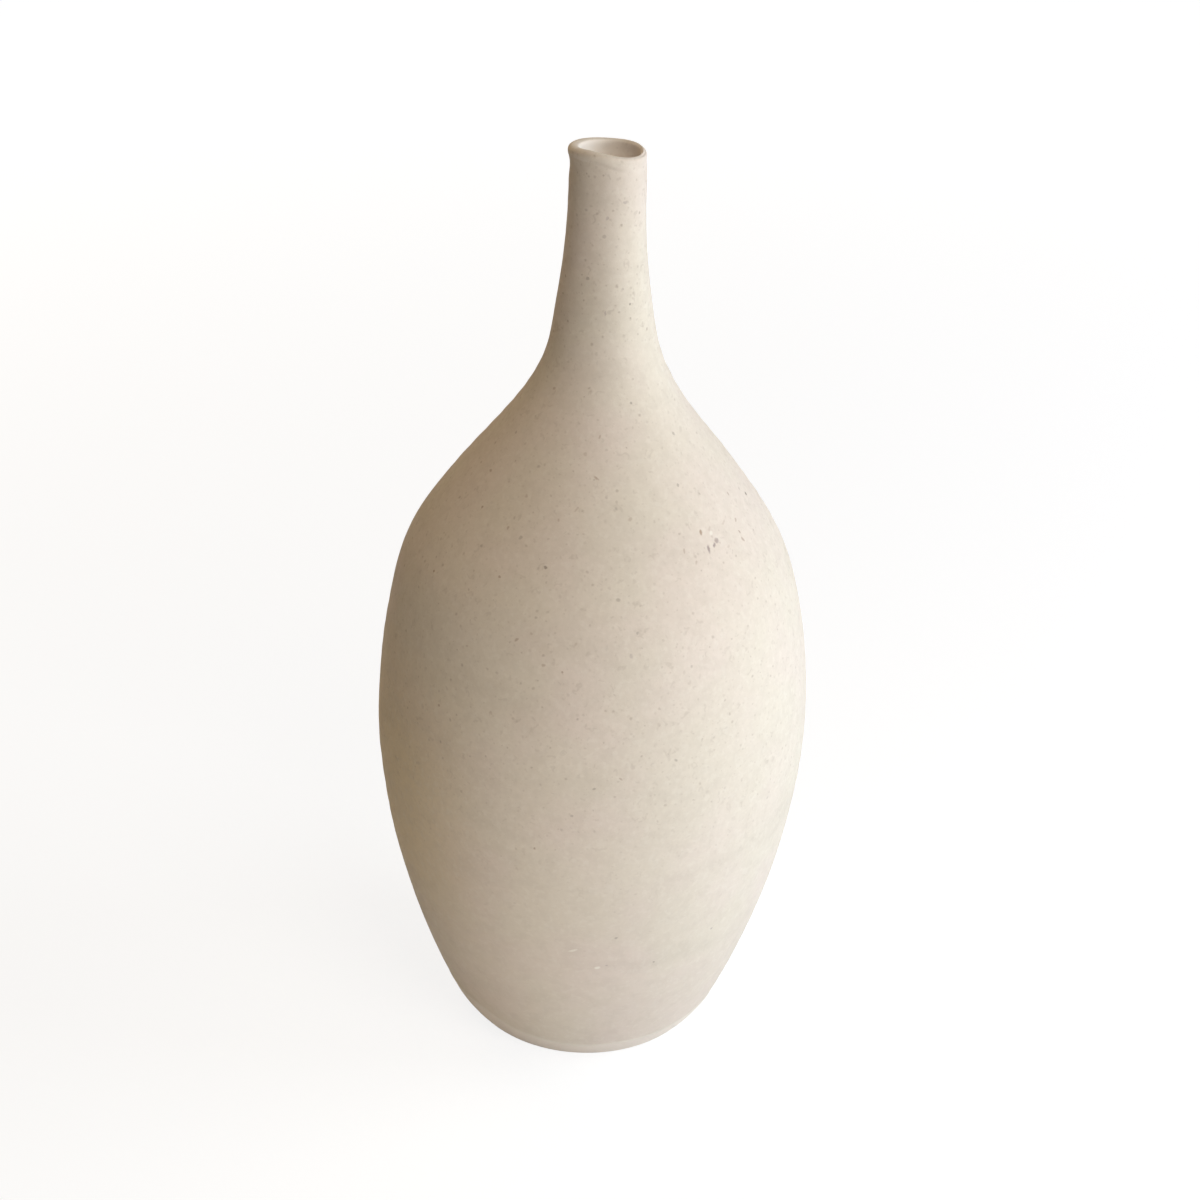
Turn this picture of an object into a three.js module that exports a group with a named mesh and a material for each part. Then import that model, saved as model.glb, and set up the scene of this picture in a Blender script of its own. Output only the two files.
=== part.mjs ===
// Bottle vase in matt, unglazed bisque clay: a bevelled foot, an egg-shaped body, a sloping shoulder
// and a long narrow neck with a small beaded lip.
//
// The vase is built as a potter builds a tall bottle: a base slab and five thrown sections are stacked
// rim to rim and luted with slip. Each rim has a V groove, and the section above has a V ridge that
// sits in it. The rims touch on flat faces, and slip fills the space left round the ridge.
//
// Millimetres, +Z up. The origin is the centre of the foot, on the surface that the vase stands on.
// The viewer faces the vase along +Y, with +X to the right.

import * as THREE from "three";

// Base slab, with the trimmed bevel that rises from the foot to the first seam
const slabThickness = 9.2;
const footRadius = 40.1;
const heelRadius = 46.5;
const hollowRadius = 30;
const hollowDepth = 1.2;
const hollowSlope = 4;

// Heights of the thrown sections, each from its lower seam to its upper one
const lowerBodyHeight = 103.8;
const upperBodyHeight = 61;
const shoulderHeight = 44;
const neckHeight = 72;
const lipHeight = 10;

// Outside radii at the seams
const bellyRadius = 69.6;
const shoulderRadius = 59.1;
const neckRootRadius = 27.7;
const neckTopRadius = 11.4;

// Outside radii between the seams, each with its place as a share of its section's height
const flareRadius = 53.1;
const flareShare = 0.16;
const swellRadius = 64.5;
const swellShare = 0.55;
const taperRadius = 65.9;
const taperShare = 0.61;
const slopeRadius = 43.3;
const slopeShare = 0.55;
const sweepRadius = 18.6;
const sweepShare = 0.22;
const throatRadius = 13.9;
const throatShare = 0.53;

// Wall thickness, square to the skin
const heelWall = 6.2;
const bellyWall = 4.8;
const neckRootWall = 4.4;
const neckTopWall = 3;

// Lip: a small bead round a bore that isn't quite central, on a mouth that dips towards +X
const rimRadius = 11.4;
const boreRadius = 8.85;
const waistRadius = 11.2;
const waistDrop = 5;
const rimShift = -0.45;
const boreShift = 0.5;
const mouthDip = 0.07;

// Keyed joints: groove width and depth as shares of the wall, and the slip between groove and ridge
const grooveWidthShare = 0.5;
const grooveDepthShare = 0.35;
const slipGap = 0.3;

// Facets of the turned surfaces, and the reach up and down over which the slope of the skin is taken
const roundSegments = 48;
const levelSpacing = 8;
const beadSteps = 6;
const slopeReach = 0.5;

// Seam heights above the table
const heelSeam = slabThickness;
const bellySeam = heelSeam + lowerBodyHeight;
const shoulderSeam = bellySeam + upperBodyHeight;
const neckSeam = shoulderSeam + shoulderHeight;
const lipSeam = neckSeam + neckHeight;
const rimHeight = lipSeam + lipHeight;

// A smooth curve through [height, value] stations. The slope at a station is that of the parabola
// through it and its two neighbours, or through the nearest three stations at either end.
function curveThrough(stations) {
  const last = stations.length - 1;
  const chord = (i) =>
    (stations[i + 1][1] - stations[i][1]) / (stations[i + 1][0] - stations[i][0]);

  const slopeAt = (i) => {
    const middle = THREE.MathUtils.clamp(i, 1, last - 1);
    const [before, here, after] = stations.slice(middle - 1, middle + 2).map(([height]) => height);
    const bend = (chord(middle) - chord(middle - 1)) / (after - before);
    return chord(middle - 1) + bend * (2 * stations[i][0] - before - here);
  };

  return (height) => {
    let i = 0;
    while (i < last - 1 && height > stations[i + 1][0]) i += 1;
    const [low, start] = stations[i];
    const [high, end] = stations[i + 1];
    const span = high - low;
    const t = (height - low) / span;
    const bend = t * (1 - t) * span;
    const straight = start + (end - start) * t * t * (3 - 2 * t);
    return straight + bend * ((1 - t) * slopeAt(i) - t * slopeAt(i + 1));
  };
}

const within = (low, high, share) => low + share * (high - low);

const outerRadius = curveThrough([
  [heelSeam, heelRadius],
  [within(heelSeam, bellySeam, flareShare), flareRadius],
  [within(heelSeam, bellySeam, swellShare), swellRadius],
  [bellySeam, bellyRadius],
  [within(bellySeam, shoulderSeam, taperShare), taperRadius],
  [shoulderSeam, shoulderRadius],
  [within(shoulderSeam, neckSeam, slopeShare), slopeRadius],
  [neckSeam, neckRootRadius],
  [within(neckSeam, lipSeam, sweepShare), sweepRadius],
  [within(neckSeam, lipSeam, throatShare), throatRadius],
  [lipSeam, neckTopRadius],
]);

const wallThickness = curveThrough([
  [heelSeam, heelWall],
  [bellySeam, bellyWall],
  [neckSeam, neckRootWall],
  [lipSeam, neckTopWall],
]);

// Width of the wall on a level cut: the thickness, stretched by the slope of the skin.
function wallWidth(height) {
  const low = Math.max(height - slopeReach, heelSeam);
  const high = Math.min(height + slopeReach, lipSeam);
  const slope = (outerRadius(high) - outerRadius(low)) / (high - low);
  return wallThickness(height) * Math.hypot(1, slope);
}

const innerRadius = (height) => outerRadius(height) - wallWidth(height);

// Heights from low to high in equal steps, both ends included.
function levels(low, high) {
  const steps = Math.ceil((high - low) / levelSpacing);
  return Array.from({ length: steps + 1 }, (_, i) => low + ((high - low) * i) / steps);
}

// The V of a keyed joint as three profile points, outside first: the full groove, or the ridge,
// which is the same V moved in by the slip gap.
function keyPoints(seam, isRidge) {
  const middle = (outerRadius(seam) + innerRadius(seam)) / 2;
  const halfWidth = (wallWidth(seam) * grooveWidthShare) / 2;
  const depth = wallThickness(seam) * grooveDepthShare;
  const gapShare = (slipGap * Math.hypot(halfWidth, depth)) / (halfWidth * depth);
  const size = isRidge ? 1 - gapShare : 1;
  return [
    { radius: middle + halfWidth * size, height: seam },
    { radius: middle, height: seam - depth * size },
    { radius: middle - halfWidth * size, height: seam },
  ];
}

const clay = new THREE.MeshStandardMaterial({ color: "#e7ddcb", roughness: 0.92, metalness: 0 });

// One solid turned about +Z from a profile that runs up the outside and down the inside. A point's
// ring can be shifted along X, and it can dip towards +X from a given side.
function turned(name, profile) {
  const outline = profile.map((point) => new THREE.Vector2(point.radius, point.height));
  const geometry = new THREE.LatheGeometry(outline, roundSegments);
  geometry.rotateX(Math.PI / 2);
  const position = geometry.getAttribute("position");
  for (let i = 0; i < position.count; i += 1) {
    const { shift = 0, dip = 0 } = profile[i % profile.length];
    const x = position.getX(i) + shift;
    position.setX(i, x);
    position.setZ(i, position.getZ(i) - dip * (x + rimRadius));
  }
  geometry.computeVertexNormals();
  const mesh = new THREE.Mesh(geometry, clay);
  mesh.name = name;
  return mesh;
}

const closed = (profile) => [...profile, profile[0]];

// The disc under the vase: hollowed foot, bevelled edge, and the groove for the lower body.
function baseSlab() {
  return turned("base_slab", [
    { radius: 0, height: hollowDepth },
    { radius: hollowRadius - hollowDepth * hollowSlope, height: hollowDepth },
    { radius: hollowRadius, height: 0 },
    { radius: footRadius, height: 0 },
    { radius: heelRadius, height: heelSeam },
    ...keyPoints(heelSeam, false),
    { radius: 0, height: heelSeam },
  ]);
}

// A thrown wall between two seams, with a ridge below and a groove above.
function wallSection(name, low, high) {
  const heights = levels(low, high);
  const outside = heights.map((height) => ({ radius: outerRadius(height), height }));
  const inside = heights.map((height) => ({ radius: innerRadius(height), height }));
  return turned(
    name,
    closed([
      ...outside,
      ...keyPoints(high, false),
      ...inside.reverse(),
      ...keyPoints(low, true).reverse(),
    ]),
  );
}

// The lip: a waist, a round bead over the rim, and the mouth's bore, closed below by its ridge.
function lipRing() {
  const beadRadius = (rimRadius - boreRadius) / 2;
  const beadMiddle = boreRadius + beadRadius;
  const beadHeight = rimHeight - beadRadius + mouthDip * (rimRadius - beadMiddle);
  const bead = Array.from({ length: beadSteps + 1 }, (_, i) => {
    const angle = (Math.PI * i) / beadSteps;
    return {
      radius: beadMiddle + beadRadius * Math.cos(angle),
      height: beadHeight + beadRadius * Math.sin(angle),
      shift: THREE.MathUtils.lerp(rimShift, boreShift, i / beadSteps),
      dip: mouthDip,
    };
  });
  return turned(
    "lip_ring",
    closed([
      { radius: outerRadius(lipSeam), height: lipSeam },
      { radius: waistRadius, height: rimHeight - waistDrop, dip: mouthDip },
      ...bead,
      { radius: innerRadius(lipSeam), height: lipSeam },
      ...keyPoints(lipSeam, true).reverse(),
    ]),
  );
}

const vase = new THREE.Group();
vase.add(
  baseSlab(),
  wallSection("lower_body", heelSeam, bellySeam),
  wallSection("upper_body", bellySeam, shoulderSeam),
  wallSection("shoulder", shoulderSeam, neckSeam),
  wallSection("neck", neckSeam, lipSeam),
  lipRing(),
);

export default vase;
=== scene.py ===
# Bottle vase in matt, unglazed bisque clay: the thrown skin in fine meshes, the clay, and the studio.
#
# Metres, +Z up, with the origin at the centre of the foot. The viewer stands at -Y. An angle round the
# vase is counted from +X, on the viewer's right, towards +Y, so that -90 degrees faces the viewer.

import math
import bpy
import numpy as np
from mathutils import Matrix, Vector


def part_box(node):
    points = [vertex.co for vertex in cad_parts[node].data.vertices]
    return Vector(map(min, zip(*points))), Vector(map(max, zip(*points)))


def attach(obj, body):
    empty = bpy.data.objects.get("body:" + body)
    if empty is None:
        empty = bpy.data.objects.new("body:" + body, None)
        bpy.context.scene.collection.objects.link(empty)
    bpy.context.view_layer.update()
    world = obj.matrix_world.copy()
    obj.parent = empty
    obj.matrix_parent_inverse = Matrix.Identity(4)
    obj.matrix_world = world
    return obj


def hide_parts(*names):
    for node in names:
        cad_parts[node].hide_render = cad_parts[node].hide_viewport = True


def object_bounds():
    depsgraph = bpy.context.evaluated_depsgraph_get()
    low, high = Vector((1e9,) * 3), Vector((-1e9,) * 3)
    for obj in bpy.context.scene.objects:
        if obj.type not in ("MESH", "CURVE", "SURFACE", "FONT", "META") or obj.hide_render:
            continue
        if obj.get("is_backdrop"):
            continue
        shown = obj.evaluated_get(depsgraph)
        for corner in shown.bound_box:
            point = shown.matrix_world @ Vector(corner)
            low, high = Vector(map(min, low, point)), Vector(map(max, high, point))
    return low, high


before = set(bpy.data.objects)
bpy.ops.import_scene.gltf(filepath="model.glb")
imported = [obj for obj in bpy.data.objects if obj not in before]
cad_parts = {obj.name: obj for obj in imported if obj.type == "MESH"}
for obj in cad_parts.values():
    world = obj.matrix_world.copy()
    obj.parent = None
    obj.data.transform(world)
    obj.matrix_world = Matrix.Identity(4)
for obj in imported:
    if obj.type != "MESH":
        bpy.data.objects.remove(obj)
cad_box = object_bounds()

MM = 0.001

# Fineness of the meshes: columns round the vase, points of a draft curve, and steps between rows
COLUMNS = 432
DRAFT_POINTS = 400
DRAFT_STEP = 0.1 * MM
BODY_STEP = 1.0 * MM
NECK_STEP = 0.7 * MM
EDGE_STEP = 0.3 * MM
INSIDE_STEP = 2.5 * MM

# Edges that a wet sponge has rounded: how far each is softened, and the height at which the softness of
# the foot's edge starts to give way to that of the heel
FOOT_ROUNDING = 0.55 * MM
HEEL_ROUNDING = 2.0 * MM
HEEL_START = 2.0 * MM
HEEL_BLEND = 3.0 * MM
FLOOR_ROUNDING = 3.0 * MM

# The bevel swells a little between the foot and the first seam
BEVEL_SWELL = 0.35 * MM
BEVEL_SWELL_HEIGHT = 4.5 * MM

# Lip: stations from the neck over the bead and down the bore. Each has, in mm, its radius beyond the
# neck's outside or the bore, its height above the seam and its shift along X, and then its share of the
# mouth's dip.
LIP_OUTSIDE = (
    (0.0, 0.0, 0.0, 0.0),
    (-0.12, 2.6, 0.0, 0.5),
    (-0.2, 5.0, -0.05, 1.0),
    (-0.12, 6.5, -0.22, 1.0),
    (0.05, 8.1, -0.43, 1.0),
    (-0.12, 9.35, -0.4, 1.0),
    (-0.72, 9.93, -0.25, 1.0),
)
LIP_INSIDE = (
    (0.72, 9.93, 0.25, 1.0),
    (0.2, 9.6, 0.4, 1.0),
    (0.0, 9.0, 0.5, 1.0),
    (0.0, 7.7, 0.5, 1.0),
    (-0.2, 5.0, 0.3, 1.0),
    (-0.4, 2.5, 0.1, 0.5),
    (-0.47, 0.0, 0.0, 0.0),
)
BORE_RADIUS = 8.85 * MM
CREST_RADIUS = BORE_RADIUS + 1.4 * MM
MOUTH_DIP = 0.07

# Places where the rim stands higher: angle and reach in degrees, rise in mm
RIM_RISES = ((-112, 50, 1.2), (32, 42, 0.6))

# The fold under the bead: angle in degrees, height above the seam in mm, and strength. The clay rolls
# out above this line and has a groove along it, up to a little before the crest of the lip.
FOLD = ((-180, 6.6, 0.0), (-150, 7.4, 0.6), (-130, 7.25, 1.0), (-111, 7.3, 1.0), (-94, 6.8, 1.0),
        (-76, 6.2, 0.8), (-59, 6.0, 0.35), (-40, 5.8, 0.0), (180, 6.6, 0.0))
FOLD_ROLL = 0.26 * MM
FOLD_ROLL_SOFTNESS = 0.55 * MM
FOLD_ROLL_REACH = 2.2 * MM
FOLD_GROOVE = 0.26 * MM
FOLD_GROOVE_WIDTH = 0.75 * MM
FOLD_END_PAST_CREST = -0.6 * MM

# The line where the trimming of the foot ends: angle in degrees and height in mm. TRIM_TOP is the height
# that stands for 1 in the clay's own curve of this line.
TRIM_LINE = (
    (-180, 13.0), (-150, 14.8), (-135, 14.0), (-125, 11.8), (-116, 9.9), (-103, 8.6), (-90, 7.8),
    (-78, 8.3), (-58, 8.3), (-45, 9.3), (0, 9.6), (90, 9.2), (180, 13.0),
)
TRIM_TOP = 20
TRIM_RIDGE = 0.10 * MM
TRIM_RIDGE_WIDTH = 0.7 * MM
TRIM_GROOVE = 0.10 * MM
TRIM_GROOVE_RISE = 1.7 * MM
TRIM_GROOVE_WIDTH = 0.9 * MM

# The shallow groove along the top of the rim, on the right: angle and reach in degrees
RIM_GROOVE_PLACE = (-4, 34)
RIM_GROOVE_PAST_CREST = -0.45 * MM
RIM_GROOVE = 0.4 * MM
RIM_GROOVE_WIDTH = 0.42 * MM

# Thrown surface: a slight oval that twists up the vase, undulations, and a spiral of finger marks whose
# pitch drifts and whose strength comes and goes. The random ones each have a seed, the most waves round
# the vase, and the least and greatest length of a wave.
OVAL_DEPTH = 0.12 * MM
OVAL_TWIST = 200 * MM
OVAL_START = 0.7
UNDULATION_DEPTH = 0.07 * MM
UNDULATION = (3, 4, (30 * MM, 90 * MM))
RING_DEPTH = 0.055 * MM
RING_PITCH = 7.5 * MM
RING_DRIFT_DEPTH = 0.3
RING_DRIFT = (5, 1, (60 * MM, 150 * MM))
RING_CONTRAST = 1.6
RING_STRENGTH = (7, 2, (25 * MM, 120 * MM))

# How much of the thrown surface's relief shows: at the centre of the foot, on the bevel, at the heel, a
# little above it, at the root of the neck, at both ends of the lip, at the root of the neck inside, and
# in the centre of the floor. Then where the second of these lies and the trimming line begins, as shares
# of the way to the heel, and how far above the heel the relief is full.
RELIEF_SHARES = (0, 0, 0.6, 1, 1, 0.5, 0.5, 0.8, 0.2)
BEVEL_START = 0.8
TRIM_START = 0.9
FULL_RELIEF_RISE = 15 * MM

# Camera, at the photograph's place and angle
CAMERA_PLACE = Vector((0.0016, -0.6185, 0.4832))
CAMERA_PITCH = math.radians(28.2)
CAMERA_ROLL = math.radians(1.83)
CAMERA_LENS = 65.81


# Curves

def spline(x, y):
    """A natural cubic spline through points, as a function of x."""
    x = np.asarray(x, float)
    y = np.asarray(y, float)
    span = np.diff(x)
    slope = np.diff(y) / span
    system = np.eye(len(x))
    rise = np.zeros(len(x))
    for i in range(1, len(x) - 1):
        system[i, i - 1 : i + 2] = span[i - 1], 2 * (span[i - 1] + span[i]), span[i]
        rise[i] = 6 * (slope[i] - slope[i - 1])
    bend = np.linalg.solve(system, rise)

    def value(at):
        i = np.clip(np.searchsorted(x, at) - 1, 0, len(span) - 1)
        before = (x[i + 1] - at) / span[i]
        after = 1 - before
        curved = (before**3 - before) * bend[i] + (after**3 - after) * bend[i + 1]
        return before * y[i] + after * y[i + 1] + curved * span[i] ** 2 / 6

    return value


def distance_along(points):
    """How far each point of a profile lies from its start, by radius and height."""
    steps = np.hypot(np.diff(points[:, 0]), np.diff(points[:, 1]))
    return np.concatenate([[0.0], np.cumsum(steps)])


def resampled(points, step):
    """The profile in even steps no longer than step, both ends kept."""
    along = distance_along(points)
    count = max(1, math.ceil(along[-1] / step))
    even = np.linspace(0, along[-1], count + 1)
    return np.stack([np.interp(even, along, column) for column in points.T], axis=1)


def softened(points, rounding):
    """The profile, in even draft steps, with its corners rounded as if by a sponge."""
    reach = math.ceil(3 * rounding / DRAFT_STEP)
    weights = np.exp(-0.5 * (np.arange(-reach, reach + 1) * DRAFT_STEP / rounding) ** 2)
    weights /= weights.sum()
    padded = np.pad(points, ((reach, reach), (0, 0)), mode="reflect", reflect_type="odd")
    return np.stack([np.convolve(column, weights, "valid") for column in padded.T], axis=1)


# Profiles, read from the CAD frame

WALLS = ("lower_body", "upper_body", "shoulder", "neck")


def rings_of(node):
    """{height: radii from small to large} of a turned node, read where its columns cross +X."""
    rings = {}
    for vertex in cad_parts[node].data.vertices:
        x, y, z = vertex.co
        if x > 0 and abs(y) < 0.001 * MM:
            rings.setdefault(round(z, 6), set()).add(round(x, 6))
    return {height: sorted(radii) for height, radii in sorted(rings.items())}


def wall_curves():
    """The outside and the inside radius of the thrown walls, as functions of height."""
    stations = {}
    for node in WALLS:
        stations.update(
            {z: (radii[-1], radii[0]) for z, radii in rings_of(node).items() if len(radii) > 1}
        )
    heights = sorted(stations)
    outside = spline(heights, [stations[z][0] for z in heights])
    inside = spline(heights, [stations[z][1] for z in heights])
    return outside, inside


def wall_line(radius, start, end):
    """Draft points of a wall between two heights. They neither shift nor dip."""
    heights = np.linspace(start, end, DRAFT_POINTS)
    still = np.zeros_like(heights)
    points = np.stack([radius(heights), heights, still, still], axis=1)
    return resampled(points, DRAFT_STEP)


def straight_line(*corners):
    """Draft points along straight stretches of the base's section."""
    points = np.array([(radius, height, 0.0, 0.0) for radius, height in corners])
    stretches = [resampled(points[i : i + 2], DRAFT_STEP) for i in range(len(points) - 1)]
    return joined(stretches)


def joined(stretches):
    """Stretches end to end, with each shared point once."""
    return np.concatenate([stretches[0], *(stretch[1:] for stretch in stretches[1:])])


def lip_line(outside, inside, seam):
    """Draft points from the neck's outside over the bead and down to the neck's inside."""
    stations = np.array(
        [(outside(seam) + r * MM, seam + z * MM, x * MM, dip) for r, z, x, dip in LIP_OUTSIDE]
        + [(BORE_RADIUS + r * MM, seam + z * MM, x * MM, dip) for r, z, x, dip in LIP_INSIDE]
    )
    stations[-1, 0] = inside(seam)
    along = distance_along(stations)
    even = np.arange(0, along[-1], DRAFT_STEP)
    curved = np.stack([spline(along, column)(even) for column in stations.T], axis=1)
    return np.concatenate([curved, stations[-1:]])


def skin_profile():
    """The whole skin as one profile, cut where the pieces meet.

    It runs from the centre of the foot up the outside, over the lip and down the inside to the centre
    of the floor. Each row holds radius, height, shift and share of dip. Each stretch goes with the
    piece it belongs to.
    """
    outside, inside = wall_curves()
    base = rings_of("base_slab")
    heights = sorted(base)
    heel = heights[-1]
    (hollow_radius, foot_radius), heel_radius = base[heights[0]], base[heel][-1]
    recess = heights[1]
    seams = [heel] + [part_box(node)[1].z for node in WALLS]

    swollen = np.interp(BEVEL_SWELL_HEIGHT, (0, heel), (foot_radius, heel_radius)) + BEVEL_SWELL
    up = [straight_line((0, recess), (base[recess][0], recess), (hollow_radius, heights[0]),
                        (foot_radius, heights[0]), (swollen, BEVEL_SWELL_HEIGHT), (heel_radius, heel))]
    down = []
    for low, high in zip(seams, seams[1:]):
        up.append(wall_line(outside, low, high))
        down.insert(0, wall_line(inside, high, low))
    down.append(straight_line((inside(heel), heel), (0, heel)))

    # The sponge has been round the foot and over the coil of clay in the corner of the floor.
    heel_soft = softened_pair(up[0], up[1], HEEL_ROUNDING)
    foot_soft = softened_pair(up[0], up[1], FOOT_ROUNDING)
    for i in range(2):
        share = np.clip((up[i][:, 1:2] - HEEL_START) / HEEL_BLEND, 0, 1)
        up[i] = foot_soft[i] + share * (heel_soft[i] - foot_soft[i])
    down[-2:] = softened_pair(down[-2], down[-1], FLOOR_ROUNDING)

    steps = [EDGE_STEP] + 3 * [BODY_STEP] + [NECK_STEP, EDGE_STEP] + 5 * [INSIDE_STEP]
    lip = lip_line(outside, inside, seams[-1])
    owners = ["base_slab", *WALLS, "lip_ring", *reversed(WALLS), "base_slab"]
    lines = [resampled(line, step) for line, step in zip([*up, lip, *down], steps)]
    return owners, lines


def softened_pair(first, second, rounding):
    """Two neighbouring stretches, rounded together and parted again where they met."""
    both = softened(joined([first, second]), rounding)
    return both[: len(first)], both[len(first) - 1 :]


# Thrown surface

# Where the potter's hands left the circle: height, reach, change of radius and of centre, in mm
HAND_WOBBLE = (
    (4, 7, 0.13, 0.09),
    (14, 8, -0.13, 0.02),
    (30, 12, -0.15, -0.10),
    (50, 15, -0.09, -0.05),
    (75, 18, 0.0, 0.04),
    (100, 18, -0.03, -0.07),
    (125, 16, -0.12, 0.18),
    (145, 14, -0.16, 0.12),
    (163, 12, -0.08, -0.21),
    (178, 10, -0.11, -0.40),
    (191, 9, -0.18, -0.12),
    (203, 8, -0.30, 0.16),
    (214, 8, 0.11, 0.10),
    (225, 8, -0.19, 0.22),
    (236, 8, -0.03, 0.17),
    (247, 9, 0.05, 0.02),
    (260, 11, -0.07, 0.0),
    (275, 11, -0.08, -0.01),
    (288, 7, -0.02, -0.04),
)

# Pits, and bumps where the depth is below zero: angle in degrees, then height, radius and depth in mm
DENTS = (
    (-81.6, 65.9, 0.9, 0.2),
    (-68.8, 50.8, 0.9, 0.22),
    (-86.0, 52.0, 1.0, -0.14),
    (-83.2, 53.1, 0.7, 0.12),
    (-93.2, 60.0, 1.1, -0.08),
    (-49.9, 59.4, 0.8, 0.1),
    (-47.5, 189.4, 0.8, 0.16),
    (-43.1, 190.7, 0.9, 0.16),
    (-44.6, 192.4, 1.2, -0.1),
    (-28.9, 188.3, 1.3, 0.08),
)

# Small ones all round the vase: number, seed, and ranges of height, radius and depth in mm
STRAY_DENTS = 44
STRAY_SEED = 11
STRAY_HEIGHTS = (16, 270)
STRAY_RADII = (0.8, 1.4)
STRAY_DEPTHS = (-0.07, 0.12)


def waves(angle, along, seed, turns, lengths, count=24):
    """Smooth random relief with a root mean square of 1, from waves that close round the vase."""
    random = np.random.default_rng(seed)
    total = np.zeros(np.broadcast(angle, along).shape)
    for _ in range(count):
        around = random.integers(-turns, turns + 1)
        length = random.uniform(*lengths)
        phase = random.uniform(0, 2 * math.pi)
        total += np.cos(around * angle + 2 * math.pi * along / length + phase)
    return total * math.sqrt(2 / count)


def wobble(height):
    """Change of radius and shift along X that the hands left at a height, in metres."""
    swell = np.zeros_like(height)
    shift = np.zeros_like(height)
    for middle, reach, radius, centre in HAND_WOBBLE:
        share = np.exp(-(((height - middle * MM) / (reach * MM)) ** 2))
        swell += radius * MM * share
        shift += centre * MM * share
    return swell, shift


def thrown_relief(angle, along):
    """Depth of oval, undulations and the spiral of finger marks over the skin."""
    oval = OVAL_DEPTH * np.cos(2 * angle - along / OVAL_TWIST + OVAL_START)
    undulation = UNDULATION_DEPTH * waves(angle, along, *UNDULATION)
    drift = RING_DRIFT_DEPTH * waves(angle, along, *RING_DRIFT)
    spiral = np.sin(2 * math.pi * (along / RING_PITCH + drift) + angle)
    strength = 1 / (1 + np.exp(-RING_CONTRAST * waves(angle, along, *RING_STRENGTH)))
    return oval + undulation + RING_DEPTH * spiral * strength


def stray_dents():
    """Small dents and bumps all round the vase, in the form of DENTS."""
    random = np.random.default_rng(STRAY_SEED)
    for _ in range(STRAY_DENTS):
        yield (
            random.uniform(0, 360),
            random.uniform(*STRAY_HEIGHTS),
            random.uniform(*STRAY_RADII),
            random.uniform(*STRAY_DEPTHS),
        )


def dent_relief(angle, along, radius, height):
    """Depth of the dents and bumps. They lie on the outside, whose rows are given."""
    relief = np.zeros((len(along), angle.shape[-1]))
    place = along[:, 0]
    for degrees, level, reach, depth in [*DENTS, *stray_dents()]:
        middle = np.interp(level * MM, height, place)
        rows = np.flatnonzero(np.abs(place - middle) < 4 * reach * MM)
        turn = (angle - math.radians(degrees) + math.pi) % (2 * math.pi) - math.pi
        across = turn * radius[rows, None]
        distance = np.hypot(across, place[rows, None] - middle) / (reach * MM)
        relief[rows] -= depth * MM * np.exp(-(distance**2))
    return relief


def bell(angle, place, spread):
    """1 at a place round the vase, falling to 0 beyond its spread, both in degrees."""
    turn = (np.degrees(angle) - place + 180) % 360 - 180
    return np.exp(-((turn / spread) ** 2))


def lip_relief(angle, height, past_crest):
    """Depth of the fold under the bead and of the groove along the rim."""
    places, levels, strengths = zip(*FOLD)
    turn = (np.degrees(angle) + 180) % 360 - 180
    above = height - np.interp(turn, sorted(places), levels) * MM
    roll = (1 + np.tanh(above / FOLD_ROLL_SOFTNESS)) / 2 * np.exp(-((above / FOLD_ROLL_REACH) ** 2))
    groove = np.exp(-((above / FOLD_GROOVE_WIDTH) ** 2))
    fold = np.interp(turn, sorted(places), strengths) * (FOLD_ROLL * roll - FOLD_GROOVE * groove)
    outside = past_crest < FOLD_END_PAST_CREST
    across = (past_crest - RIM_GROOVE_PAST_CREST) / RIM_GROOVE_WIDTH
    channel = bell(angle, *RIM_GROOVE_PLACE) * np.exp(-(across**2))
    return np.where(outside, fold, 0) - RIM_GROOVE * channel


def trim_relief(angle, height):
    """Depth of the soft ridge along the trimming line, and of the groove over it."""
    turn = (np.degrees(angle) + 180) % 360 - 180
    above = height - np.interp(turn, *zip(*TRIM_LINE)) * MM
    ridge = np.exp(-((above / TRIM_RIDGE_WIDTH) ** 2))
    groove = np.exp(-(((above - TRIM_GROOVE_RISE) / TRIM_GROOVE_WIDTH) ** 2))
    return TRIM_RIDGE * ridge - TRIM_GROOVE * groove


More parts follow.
